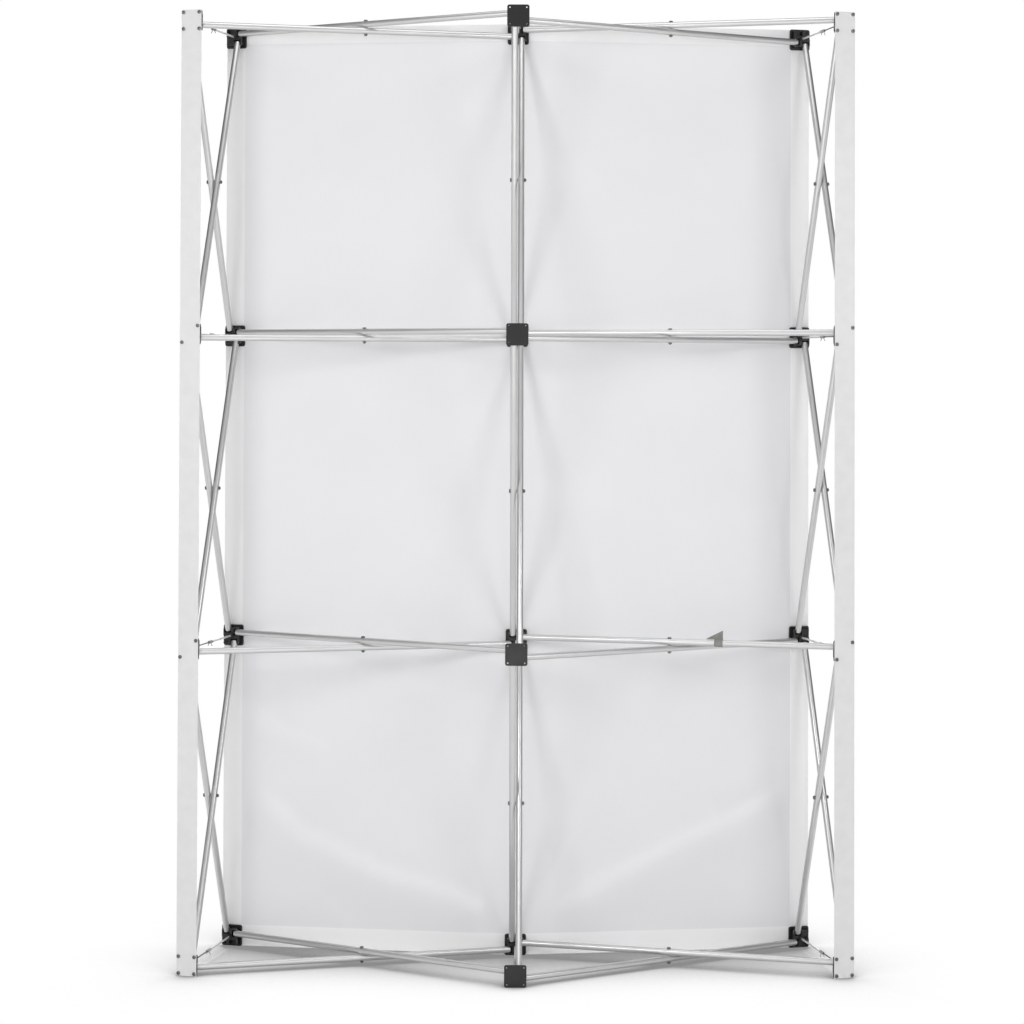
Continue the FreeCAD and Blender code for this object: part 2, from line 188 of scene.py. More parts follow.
# %% World
world = bpy.data.worlds.new("studio")
bpy.context.scene.world = world
world.use_nodes = True
tree = world.node_tree
tree.nodes.clear()
seen, path = seen_rays(tree)
split = node(tree, "ShaderNodeSeparateXYZ", node(tree, "ShaderNodeTexCoord").outputs["Generated"])
halved = node(tree, "ShaderNodeMath", split.outputs["Y"], operation="MULTIPLY_ADD")
halved.inputs[1].default_value = halved.inputs[2].default_value = 0.5
shade = node(tree, "ShaderNodeValToRGB", halved)
stops = shade.color_ramp.elements  # it starts with one at 0 and one at 1
for place in (0.24, 0.45, 0.60, 0.82):
    stops.new(place)
for stop, grey in zip(stops, (0.62, 0.50, 0.15, 0.05, 0.05, 0.22)):
    stop.color = (grey, grey, grey, 1)
plain = node(tree, "ShaderNodeMath", shade, path["Is Camera Ray"], operation="MAXIMUM")
room = node(tree, "ShaderNodeBackground", Color=(1, 1, 1, 1), Strength=0.41)
backdrop = node(tree, "ShaderNodeBackground", plain, Strength=1.0)
node(tree, "ShaderNodeOutputWorld", node(tree, "ShaderNodeMixShader", seen, room, backdrop))
print("world nodes", len(tree.nodes))

# %% Floor
FAR = 14  # metres to the floor's edge, past what any view shows
floor_mesh = bpy.data.meshes.new("floor")
floor_mesh.from_pydata([(-FAR, -FAR, 0), (FAR, -FAR, 0), (FAR, FAR, 0), (-FAR, FAR, 0)], [], [(0, 1, 2, 3)])
floor = linked("floor", floor_mesh)
floor_paint = bpy.data.materials.new("floor_paint")
floor_paint.use_nodes = True
tree = floor_paint.node_tree
tree.nodes.clear()
near = node(tree, "ShaderNodeAmbientOcclusion", samples=12, Distance=0.42)
shadow = node(tree, "ShaderNodeMapRange", near.outputs["AO"], From_Min=0.50, From_Max=0.93, To_Min=0.26, To_Max=1.0)
white = node(tree, "ShaderNodeEmission", shadow, Strength=1.0)
paint = node(tree, "ShaderNodeBsdfDiffuse", Color=(0.92, 0.92, 0.92, 1))
node(tree, "ShaderNodeOutputMaterial", node(tree, "ShaderNodeMixShader", seen_rays(tree)[0], paint, white))
floor_mesh.materials.append(floor_paint)
print("floor", floor.name)

# %% Lamps
LAMPS = {  # place, aim, size in metres, power in watts
    "lamp_left": ((-1.40, -2.5, 1.95), (0, 0, 1.0), 0.8, 21),
    "lamp_right": ((1.62, -2.2, 1.95), (0, 0, 1.0), 0.8, 13.5),
    "lamp_low": ((0, -2.4, 0.35), (0, 0, 0.3), 1.6, 8),
    "lamp_above": ((0, -0.6, 4.6), (0, 0, 0), 2.6, 40),
    "lamp_front": ((0, 5.2, 2.6), (0, 0, 1.1), 3.0, 150),
}
for name, (place, aim, size, power) in LAMPS.items():
    lamp = linked(name, bpy.data.lights.new(name, "AREA"))
    lamp.data.shape, lamp.data.size, lamp.data.energy = "SQUARE", size, power
    lamp.location = place
    lamp.rotation_euler = (Vector(aim) - Vector(place)).to_track_quat("-Z", "Y").to_euler()
print("lamps", len(LAMPS))

# %% [markdown]
# ## Finishes
# Each finish is one node material whose grain is at its real scale. Moulded plastic has
# a fine spark-eroded grain, drawn tube has streaks along its length, and the knitted
# cloth has rows of loops. Tubes point every way, so their streaks follow a stored
# attribute, "grain", which holds each point's place in the tube's own section and
# length. The cloth's loops follow its UV map, which is in metres.

# %% Finish helpers
def finish(name, colour, roughness, metallic=0.0):
    """A material, and its Principled shader for more nodes."""
    material = bpy.data.materials.new(name)
    material.use_nodes = True
    shader = material.node_tree.nodes["Principled BSDF"]
    for label, value in (("Base Color", (*colour, 1)), ("Roughness", roughness), ("Metallic", metallic)):
        shader.inputs[label].default_value = value
    return material, shader


def spots(where, scale, detail=3.0, stretch=(1, 1, 1)):
    """Noise at a scale per metre, stretched along chosen axes."""
    mapping = node(where.id_data, "ShaderNodeMapping", where, Scale=stretch)
    return node(where.id_data, "ShaderNodeTexNoise", mapping, Scale=scale, Detail=detail)


def between(source, low, high):
    """The noise's usual values, 0.3 to 0.7, carried to a range from low to high."""
    return node(source.id_data, "ShaderNodeMapRange", source, From_Min=0.3, From_Max=0.7, To_Min=low, To_Max=high)


def bumped(shader, height, strength, distance):
    bump = node(shader.id_data, "ShaderNodeBump", Height=height, Strength=strength, Distance=distance)
    feed(bump, shader.inputs["Normal"])


def tinted(shader, source, dark, light):
    mix = node(shader.id_data, "ShaderNodeMix", between(source, 0, 1), data_type="RGBA")
    mix.inputs[6].default_value, mix.inputs[7].default_value = (*dark, 1), (*light, 1)
    feed(mix.outputs[2], shader.inputs["Base Color"])


def dulled(shader, source, low, high):
    feed(between(source, low, high), shader.inputs["Roughness"])


def object_place(shader):
    return node(shader.id_data, "ShaderNodeTexCoord").outputs["Object"]


def moulded(name, dark, light, roughness, grain=1600, strength=0.35):
    """Moulded plastic: a fine even grain, and patches that are a little glossier from handling."""
    material, shader = finish(name, light, roughness)
    where = object_place(shader)
    bumped(shader, spots(where, grain, 2), strength, 0.00012)
    patches = spots(where, 38, 4)
    tinted(shader, patches, dark, light)
    dulled(shader, patches, roughness + 0.08, roughness - 0.06)
    return material


# %% Plastics
hub_black = moulded("hub_black", (0.006, 0.006, 0.0065), (0.012, 0.012, 0.0125), 0.36)
plug_black = moulded("plug_black", (0.016, 0.016, 0.017), (0.025, 0.025, 0.027), 0.5, 2200)
pad_black = moulded("pad_black", (0.010, 0.010, 0.011), (0.022, 0.022, 0.023), 0.85, 900, 0.9)
washer_nylon = moulded("washer_nylon", (0.60, 0.60, 0.57), (0.68, 0.68, 0.65), 0.55)
latch_grey = moulded("latch_grey", (0.30, 0.30, 0.30), (0.40, 0.40, 0.40), 0.40)
strip_white = moulded("strip_white", (0.76, 0.76, 0.765), (0.80, 0.80, 0.805), 0.36, 700, 0.12)
print("with the plastics", len(bpy.data.materials), "materials")

# %% Metals
def drawn_metal(name, dark, light, roughness, metallic):
    """Metal with fine streaks along its length, read from the piece's own attribute."""
    material, shader = finish(name, light, roughness, metallic)
    where = node(shader.id_data, "ShaderNodeAttribute", attribute_name="grain").outputs["Vector"]
    streaks = spots(where, 900, 2, (1, 1, 0.006))
    bumped(shader, streaks, 0.25, 0.00008)
    tinted(shader, spots(where, 9, 3, (6, 6, 1)), dark, light)
    dulled(shader, streaks, roughness - 0.05, roughness + 0.08)
    return material


def turned_metal(name, dark, light, roughness, metallic=1.0):
    """Small steel parts: a soft mottle and tiny scratches."""
    material, shader = finish(name, light, roughness, metallic)
    where = object_place(shader)
    mottle = spots(where, 420, 4)
    bumped(shader, spots(where, 2600, 2), 0.2, 0.00006)
    tinted(shader, mottle, dark, light)
    dulled(shader, mottle, roughness + 0.1, roughness - 0.05)
    return material


tube_satin = drawn_metal("tube_satin", (0.62, 0.62, 0.62), (0.66, 0.66, 0.66), 0.35, 0.86)
screw_steel = turned_metal("screw_steel", (0.12, 0.12, 0.125), (0.25, 0.25, 0.255), 0.34)
pin_steel = turned_metal("pin_steel", (0.42, 0.42, 0.43), (0.58, 0.58, 0.59), 0.28)
rod_wire = turned_metal("rod_wire", (0.10, 0.10, 0.105), (0.20, 0.20, 0.205), 0.42)
rod_satin = turned_metal("rod_satin", (0.68, 0.68, 0.69), (0.80, 0.80, 0.81), 0.38, 0.5)
print("with the metals", len(bpy.data.materials), "materials")

# %% Cloth, hem, thread and webbing
LOOPS_PER_METRE = 1100


def knitted(name, dark, light, strength):
    """Knitted polyester: two crossed waves make the rows of loops, on the UV map in metres."""
    material, shader = finish(name, light, 0.86)
    shader.inputs["Sheen Weight"].default_value = 0.12
    shader.inputs["Specular IOR Level"].default_value = 0.25
    tree = shader.id_data
    where = node(tree, "ShaderNodeUVMap").outputs[0]
    waves = [node(tree, "ShaderNodeTexWave", where, bands_direction=axis, Scale=LOOPS_PER_METRE / width, Distortion=0.0)
             for axis, width in (("X", 6.2832), ("Y", 5.0))]
    loops = node(tree, "ShaderNodeMath", *[wave.outputs["Fac"] for wave in waves], operation="MULTIPLY")
    bumped(shader, loops, strength, 0.00025)
    tinted(shader, spots(where, 5, 5), dark, light)
    dulled(shader, spots(where, 260, 3), 0.8, 0.92)
    return material


cloth_white = knitted("cloth_white", (0.845, 0.845, 0.86), (0.86, 0.86, 0.875), 0.35)
# the hem's lighter white is partly its double cloth and partly painted light, standing in for the floor's bounce and
# light through the cloth
hem_white = knitted("hem_white", (0.94, 0.94, 0.945), (0.97, 0.97, 0.975), 0.45)
thread_white = moulded("thread_white", (0.90, 0.90, 0.90), (0.95, 0.95, 0.95), 0.7, 1500, 0.5)
tab_grey = moulded("tab_grey", (0.20, 0.20, 0.19), (0.30, 0.30, 0.285), 0.8, 1000, 0.9)
print("all", len(bpy.data.materials), "materials made")

# %% [markdown]
# ## Making meshes
# Nearly every part of this frame is either turned about an axis, such as a pin or a
# washer, or an outline with a thickness, such as a plate. So "lathe" turns a profile,
# and "slab" thickens an outline and rounds its edges. For the few other parts, "carve"
# joins or cuts closed shapes with Boolean modifiers.

# %% Lathe, slab and carve
def in_mm(points):
    return [(a * MM, b * MM) for a, b in points]


def lathe(piece, profile, place, material=0, sides=24, ring=False):
    """Turns (radius, height) points about Z. A ring's last point meets its first."""
    rows = []
    for radius, height in profile:
        if radius == 0:
            rows.append([piece.verts.new(place @ Vector((0, 0, height)))])
            continue
        turns = [2 * math.pi * step / sides for step in range(sides)]
        rows.append([piece.verts.new(place @ Vector((radius * math.cos(t), radius * math.sin(t), height)))
                     for t in turns])
    for low, high in list(zip(rows, rows[1:])) + ([(rows[-1], rows[0])] if ring else []):
        for step in range(sides):
            after = (step + 1) % sides
            corners = [low[step % len(low)], low[after % len(low)], high[after % len(high)], high[step % len(high)]]
            face = piece.faces.new(list(dict.fromkeys(corners)))
            face.material_index = material


def thicken(piece, face, shift):
    """Gives a face a thickness along shift."""
    new = bmesh.ops.extrude_face_region(piece, geom=[face])["geom"]
    bmesh.ops.translate(piece, vec=shift, verts=[v for v in new if isinstance(v, bmesh.types.BMVert)])
    bmesh.ops.recalc_face_normals(piece, faces=piece.faces[:])


def slab(outline, low, high, rounding=0.0, steps=2, border=0.3 * MM):
    """A piece from an outline of (x, z) points, thick from low to high along Y, with rounded rims."""
    piece = bmesh.new()
    thicken(piece, piece.faces.new([piece.verts.new((x, low, z)) for x, z in outline]), (0, high - low, 0))
    if rounding:
        rims = [e for e in piece.edges if abs(e.verts[0].co.y - e.verts[1].co.y) < 1e-7]
        bmesh.ops.bevel(piece, geom=rims, offset=rounding, segments=steps, profile=0.5, affect="EDGES")
        # a narrow border round the flat faces keeps the rim's smooth shading off them
        flat = [f for f in piece.faces if abs(f.normal.y) > 0.999 and len(f.verts) > 4]
        bmesh.ops.inset_individual(piece, faces=flat, thickness=border)
    return piece


def rounded_square(width, radius, steps=6):
    points = []
    centre = width / 2 - radius
    for corner, (sx, sz) in enumerate(((1, 1), (-1, 1), (-1, -1), (1, -1))):
        for step in range(steps + 1):
            angle = math.pi / 2 * (corner + step / steps)
            points.append((sx * centre + radius * math.cos(angle), sz * centre + radius * math.sin(angle)))
    return points


def as_mesh(piece, name):
    mesh = bpy.data.meshes.new(name)
    piece.to_mesh(mesh)
    piece.free()
    return mesh


def turned(name, profile, place=Matrix.Identity(4), sides=24, ring=False):
    piece = bmesh.new()
    lathe(piece, profile, place, 0, sides, ring)
    return as_mesh(piece, name)


def evaluated(thing):
    """The plain mesh that an object's modifiers make."""
    return bpy.data.meshes.new_from_object(thing.evaluated_get(bpy.context.evaluated_depsgraph_get()))


def carve(base, steps):
    """Joins or cuts closed meshes one after another. steps are ("UNION" or "DIFFERENCE", mesh)."""
    body = linked("carving", base)
    tools = []
    for word, mesh in steps:
        tools.append(linked("tool", mesh))
        change = body.modifiers.new(word, "BOOLEAN")
        change.operation, change.object, change.solver = word, tools[-1], "EXACT"
    result = evaluated(body)
    for thing in [body] + tools:
        bpy.data.objects.remove(thing)
    return result


def add(piece, mesh, place=Matrix.Identity(4), material=0):
    """Adds a copy of a mesh to the piece, at its place and in one material."""
    verts_before, faces_before = len(piece.verts), len(piece.faces)
    piece.from_mesh(mesh)
    piece.verts.ensure_lookup_table()
    piece.faces.ensure_lookup_table()
    bmesh.ops.transform(piece, matrix=place, verts=piece.verts[verts_before:])
    for face in piece.faces[faces_before:]:
        face.material_index = material


def complete(piece, name, materials, body, nodes, crease=38):
    """Turns the piece into an object that rides on its body and replaces its CAD nodes."""
    mesh = as_mesh(piece, name)
    mesh.polygons.foreach_set("use_smooth", [True] * len(mesh.polygons))
    mesh.set_sharp_from_angle(angle=math.radians(crease))
    for material in materials:
        mesh.materials.append(material)
    thing = linked(name, mesh)
    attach(thing, body)
    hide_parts(*nodes)
    return thing


print("mesh helpers ready")

# %% [markdown]
# ## Node trees
# Three small Geometry Nodes trees make what repeats: a tube that follows a line, screw
# heads that stand on points, and stitches that follow a seam. Each has named inputs for
# its sizes, and each result is turned into a plain mesh before it joins a piece.

# %% Helpers for the trees
def new_tree(name, **sockets):
    """A tree and what its Group Input gives: a geometry, and one value of each named kind."""
    tree = bpy.data.node_groups.new(name, "GeometryNodeTree")
    tree.interface.new_socket(name="Geometry", in_out="INPUT", socket_type="NodeSocketGeometry")
    for label, kind in sockets.items():
        tree.interface.new_socket(name=label.replace("_", " "), in_out="INPUT", socket_type="NodeSocket" + kind)
    tree.interface.new_socket(name="Geometry", in_out="OUTPUT", socket_type="NodeSocketGeometry")
    return tree, node(tree, "NodeGroupInput").outputs


def stored(geometry, kind, name, value):
    """The geometry with a value kept on each of its points, under a name."""
    return node(geometry.id_data, "GeometryNodeStoreNamedAttribute", geometry, data_type=kind, Name=name, Value=value)


def read(tree, kind, name):
    return node(tree, "GeometryNodeInputNamedAttribute", data_type=kind, Name=name).outputs["Attribute"]


def close_tree(last, material):
    tree = last.id_data
    real = node(tree, "GeometryNodeRealizeInstances", last)
    node(tree, "NodeGroupOutput", node(tree, "GeometryNodeSetMaterial", real, Material=material))
    print(tree.name, len(tree.nodes), "nodes")


def grown(tree, points, edges, values, vectors=()):
    """The plain mesh that a tree makes on a few points and edges, with its inputs set by identifier."""
    mesh = bpy.data.meshes.new(tree.name)
    mesh.from_pydata(points, edges, [])
    for label, kind, field, data in vectors:
        mesh.attributes.new(label, kind, "POINT").data.foreach_set(field, data)
    holder = linked(tree.name, mesh)
    maker = holder.modifiers.new(tree.name, "NODES")
    maker.node_group = tree
    for item in tree.interface.items_tree:
        if item.in_out == "INPUT" and item.name in values:
            maker[item.identifier] = values[item.name]
    result = evaluated(holder)
    holder.modifiers.remove(maker)
    bpy.data.objects.remove(holder)
    return result


# %% Tree: a tube along a line
tube_tree, given = new_tree("tube_on_a_line", Radius="Float", Sides="Int", Metal="Material")
line = node(tube_tree, "GeometryNodeMeshToCurve", given["Geometry"])
length = node(tube_tree, "GeometryNodeSplineParameter").outputs["Length"]
ring = node(tube_tree, "GeometryNodeCurvePrimitiveCircle", Radius=given["Radius"], Resolution=given["Sides"])
spot = node(tube_tree, "GeometryNodeInputPosition")
sweep = node(tube_tree, "GeometryNodeCurveToMesh", stored(line, "FLOAT", "length", length),
             Profile_Curve=stored(ring, "FLOAT_VECTOR", "section", spot), Scale=read(tube_tree, "FLOAT", "girth"),
             Fill_Caps=True)
parts = node(tube_tree, "ShaderNodeSeparateXYZ", read(tube_tree, "FLOAT_VECTOR", "section")).outputs
grain = node(tube_tree, "ShaderNodeCombineXYZ", parts["X"], parts["Y"], read(tube_tree, "FLOAT", "length"))
close_tree(stored(sweep, "FLOAT_VECTOR", "grain", grain), given["Metal"])

# %% Tree: screw heads on points
screw_tree, given = new_tree("heads_on_points", Head="Object", Turn_Seed="Int", Steel="Material")
head = node(screw_tree, "GeometryNodeObjectInfo", Object=given["Head"]).outputs["Geometry"]
align = node(screw_tree, "FunctionNodeAlignRotationToVector", axis="Z",
             Vector=read(screw_tree, "FLOAT_VECTOR", "facing"))
any_turn = node(screw_tree, "FunctionNodeRandomValue", data_type="FLOAT", Seed=given["Turn Seed"])
next(s for s in any_turn.inputs if s.identifier == "Max_001").default_value = 1.57
spin = node(screw_tree, "FunctionNodeAxisAngleToRotation", Angle=next(s for s in any_turn.outputs if s.enabled))
turn = node(screw_tree, "FunctionNodeRotateRotation", align, rotation_space="LOCAL", Rotate_By=spin)
stand = node(screw_tree, "GeometryNodeInstanceOnPoints", given["Geometry"], Instance=head, Rotation=turn)
close_tree(stand, given["Steel"])

# %% Tree: stitches along a seam
stitch_tree, given = new_tree("stitches_on_a_seam", Spacing="Float", Stitch_Length="Float", Thread_Radius="Float",
                              Thread="Material")
seam = node(stitch_tree, "GeometryNodeMeshToCurve", given["Geometry"])
space = node(stitch_tree, "GeometryNodeResampleCurve", seam, mode="LENGTH", Length=given["Spacing"])
bead = node(stitch_tree, "GeometryNodeMeshUVSphere", Segments=6, Rings=4, Radius=1.0)
align = node(stitch_tree, "FunctionNodeAlignRotationToVector", axis="Z",
             Vector=node(stitch_tree, "GeometryNodeInputTangent"))
half = node(stitch_tree, "ShaderNodeMath", given["Stitch Length"], operation="MULTIPLY")
half.inputs[1].default_value = 0.5
size = node(stitch_tree, "ShaderNodeCombineXYZ", given["Thread Radius"], given["Thread Radius"], half)
stand = node(stitch_tree, "GeometryNodeInstanceOnPoints", space, Instance=bead, Rotation=align, Scale=size)
close_tree(stand, given["Thread"])

# %% [markdown]
# ## The hub moulding
# All 24 hubs are one moulding: a square plate with a rounded rim, and behind it a core
# with four slots laid out like a pinwheel, so that four tubes can pass each other. The
# core's outline is one quarter, repeated at quarter turns, and thickened by "slab".
# The plate, the floor of the slots and the boss are joined to it, and the corner holes
# and the rod's socket are cut. It is carved once, and all hubs share it.

# %% Hub moulding
def quarter(point, turns):
    x, z = point
    for _ in range(turns):
        x, z = -z, x
    return x, z


along_y = Matrix.Rotation(-math.pi / 2, 4, "X")
reach, corner, slot_side, slot_root = 19 * MM, 3 * MM, 16 * MM, 7.6 * MM
one_quarter = [(reach, 0.0)]
one_quarter += [(reach - corner + corner * math.cos(a), reach - corner + corner * math.sin(a))
                for a in (math.pi / 2 * step / 5 for step in range(6))]
# the last point is the slot's inner corner, where the next quarter starts its own wall
one_quarter += [(slot_side, slot_root), (0.0, slot_root)]
core_outline = [quarter(point, turns) for turns in range(4) for point in one_quarter]
core = as_mesh(slab(core_outline, -9.6 * MM, CORE_FACE, 0.45 * MM), "core")
slot_floor = as_mesh(slab(rounded_square(38 * MM, 3 * MM), -14.2 * MM, -9.5 * MM), "slot_floor")
plate = as_mesh(slab(rounded_square(2 * HUB_HALF, 5 * MM), -PLATE_FACE, -14 * MM, 1.1 * MM, 3), "plate")
boss = turned("boss", in_mm([(0, 4.4), (6.5, 4.4), (6.5, 9), (6, 9.5), (0, 9.5)]), along_y, 32)
rod_socket = turned("socket", in_mm([(0, -4.5), (2.5, -4.5), (2.5, 11), (0, 11)]), along_y)
cuts = [("UNION", slot_floor), ("UNION", core), ("UNION", boss), ("DIFFERENCE", rod_socket)]
hole = in_mm([(0, -18.4), (2.4, -18.4), (1.7, -17.6), (1.7, -12), (0, -12)])
for sx in (-1, 1):
    for sz in (-1, 1):
        at = Matrix.Translation((sx * HOLE_PLACE, 0, sz * HOLE_PLACE)) @ along_y
        cuts.append(("DIFFERENCE", turned("corner_hole", hole, at)))
hub_moulding = carve(plate, cuts)
print("hub moulding faces", len(hub_moulding.polygons))

# %% [markdown]
# ## Small hub parts
# The pins are steel, 4 mm thick. A lock rod holds the open wall: its back half is a thin
# wire with a slim grey latch, from which two short prongs hang, and its front half is a
# thicker light rod that ends inside the latch. The screws on the strips have domed heads
# with a cross recess, cut once and then set on points by the second tree.

# %% Pins, rods and the latch
def rod_profile(start, end, radius, rounding):
    """The profile of a closed rod with eased ends, from lengths in millimetres."""
    return in_mm([(0, start), (radius - rounding, start), (radius, start + rounding), (radius, end - rounding),
                  (radius - rounding, end), (0, end)])


pin = turned("pin", rod_profile(-19, 3, 2, 0.3), Matrix.Translation((PIVOT_OFFSET, 0, 0)), 20)
back_wire = turned("back_wire", rod_profile(-4.5, 114.5, 1.6, 0.2), along_y, 14)
front_rod = turned("front_rod", rod_profile(-4.5, 136.5, 2.4, 0.5), along_y, 20)
latch = turned("latch", in_mm([
    (0, 110.5), (3.1, 110.5), (3.6, 111), (3.6, 114.5), (3.3, 115), (3.3, 116), (3.6, 116.5), (3.6, 130),
    (3.1, 130.5), (2.6, 130.5), (2.6, 117.5), (0, 117.5)]), along_y)
prong_wall = in_mm([(0, 2.7), (0.9, 2.7), (0.9, 10.2), (0.8, 10.6), (0.5, 10.9), (0, 11)])
prongs = []
for side in (-1, 1):
    splay = math.radians(24) * side
    at = pointing(Vector((side * MM, 118.5 * MM, 0)), (math.sin(splay), 0, -math.cos(splay)))
    prongs.append(turned("prong", prong_wall, at, 12))
hook_pad = as_mesh(slab(rounded_square(44 * MM, 4 * MM, 4), -18.8 * MM, -PLATE_FACE, 0.15 * MM, 1), "hook_pad")
print("pins, rods, latch, prongs and pad made")

# %% Screw heads and nut
def cross_head(name, radius, height, rounding, recess):
    """A domed head that stands on Z = 0, with a cross recess in its top."""
    rim = [(radius - rounding + rounding * math.sin(a), height - rounding + rounding * math.cos(a))
           for a in (math.pi / 2 * (1 - step / 5) for step in range(6))]
    profile = [(0, 0), (radius, 0)] + rim + [((radius - rounding) / 2, height + 0.02 * MM), (0, height + 0.03 * MM)]
    tools = []
    for half_long, half_wide in ((recess, recess / 3.4), (recess / 3.4, recess)):
        bar = bmesh.new()
        bmesh.ops.create_cube(bar, size=1, matrix=Matrix.Translation((0, 0, height)) @ Matrix.Diagonal(
            (2 * half_long, 2 * half_wide, height * 1.1, 1)))
        tools.append(("DIFFERENCE", as_mesh(bar, "recess")))
    return bpy.data.objects.new(name, carve(turned(name, profile, sides=28), tools))


strip_head = cross_head("strip_head", 4.3 * MM, 2.6 * MM, 1.6 * MM, 2.1 * MM)
mid_head = cross_head("mid_head", 4.6 * MM, 3.0 * MM, 1.4 * MM, 2.3 * MM)
nut_reach = 7.6 * MM / math.sqrt(3)
hexagon = [(nut_reach * math.cos(math.pi / 3 * k), nut_reach * math.sin(math.pi / 3 * k)) for k in range(6)]
nut = as_mesh(slab(hexagon, 0, 3.2 * MM, 0.4 * MM, 1), "nut")
nut_up = Matrix.Rotation(math.pi / 2, 4, "X")
print("head faces", len(strip_head.data.polygons), len(mid_head.data.polygons))


def heads(holder, points, direction, seed):
    """Screw heads standing on points, as one mesh."""
    return grown(screw_tree, points, [], {"Head": holder, "Turn Seed": seed, "Steel": screw_steel},
                 [("facing", "FLOAT_VECTOR", "vector", list(direction) * len(points))])


# %% [markdown]
# ## The 24 hubs
# A back hub's plate faces the camera and a front hub is the same moulding turned about.
# Pins go only where a tube is held. The outer back hubs also carry the screws that hold
# the end strips: four at the top and bottom, two between, as in the photograph.

# %% Hubs
STRIP_NEAR, STRIP_FAR = 19.8 * MM, 18.2 * MM
HUB_FINISHES = [hub_black, pin_steel, rod_wire, latch_grey, rod_satin, pad_black, screw_steel]


def make_hub(layer, word, column, row):
    turn = 1 if layer == "back" else -1
    place = axes(hub_centre(layer, column, row), side_line(column) * turn, facing(column) * turn)
    piece = bmesh.new()
    add(piece, hub_moulding, place)
    # a tube is held at the hub's own right, above it, at its left and below it
    for count, held in enumerate((column * turn < 1, row < 4, column * turn > -1, row > 1)):
        if held:
            add(piece, pin, place @ Matrix.Rotation(-math.pi / 2 * count, 4, "Y"), 1)
    if layer == "back":
        for mesh, material in [(back_wire, 2), (latch, 3)] + [(prong, 3) for prong in prongs]:
            add(piece, mesh, place, material)
    else:
        add(piece, front_rod, place, 4)
        add(piece, hook_pad, place, 5)
    if layer == "back" and column:
        corners = [(-1, -1), (-1, 1), (1, -1), (1, 1)] if row in (1, 4) else [(1, 1), (-1, -1)]
        seats = [place @ Vector((sx * HOLE_PLACE, -STRIP_NEAR, sz * HOLE_PLACE)) for sx, sz in corners]
        outward = -(place.to_3x3() @ Vector((0, 1, 0)))
        add(piece, heads(strip_head, seats, outward, row), material=6)
        for at in seats:
            lathe(piece, rod_profile(-7, 0.2, 1.5, 0.1), pointing(at, outward), 6, 12)
    name = f"hub_{layer}_{word}_{row}"
    complete(piece, "moulded_" + name, HUB_FINISHES, name, [name])


for layer in ("back", "front"):
    for word, column in COLUMNS.items():
        for row in ROWS:
            make_hub(layer, word, column, row)
print("hubs made", 24)

# %% [markdown]
# ## Tubes
# Every tube is the same length, drawn aluminium 15 mm thick, with a black plug in each
# end. A hub's pin goes through tube and plug 3.5 mm from the tube's end. Where two tubes
# cross, a domed screw, a nylon washer and a nut hold them. The first tree grows the tube
# along a line, with its ends drawn in a little, so their rims catch light. Then two pin
# holes are cut, and a thin black lining in each stands for the plug inside.

# %% End plugs
PIN_HOLES = {False: 2.06, True: 4.4}  # radius in millimetres, by whether the pivot is open


def pin_hole(radius):
    return turned("pin_hole", [(0, -0.01), (radius * MM, -0.01), (radius * MM, 0.01), (0, 0.01)])


def end_plug(radius):
    """The plug's rounded end past the tube, and the lining of its hole about Z."""
    wall = in_mm([(0, -5), (5.45, -5), (5.95, -4.87), (6.32, -4.5), (6.45, -4), (6.45, -3.3), (0, -3.3)])
    piece = bmesh.new()
    add(piece, carve(turned("stub", wall, along_y, 32), [("DIFFERENCE", pin_hole(radius))]))
    near, far = radius - 0.1, radius + 0.3
    lathe(piece, in_mm([(near, -5.8), (far, -5.8), (far, 5.8), (near, 5.8)]), Matrix.Identity(4), ring=True)
    return as_mesh(piece, "end_plug")


plugs = {is_open: end_plug(radius) for is_open, radius in PIN_HOLES.items()}
print("plug faces", len(plugs[False].polygons))

# %% One tube with its plugs and its half of the crossing
TUBE_FINISHES = [tube_satin, plug_black, screw_steel, washer_nylon, tab_grey]
TUBE_RADIUS = 7.5 * MM
TUBE_STOPS = [-3.5 * MM, -3.25 * MM, -2.8 * MM]
TUBE_STOPS += [TUBE_LENGTH - stop for stop in reversed(TUBE_STOPS)]
TUBE_GIRTH = [0.955, 0.99, 1, 1, 0.99, 0.955]
washer = turned("washer", in_mm([(2.1, -0.3), (5, -0.3), (5, 0.3), (2.1, 0.3)]),
                Matrix.Translation((0, 0, -TUBE_SIDE)), 28, True)


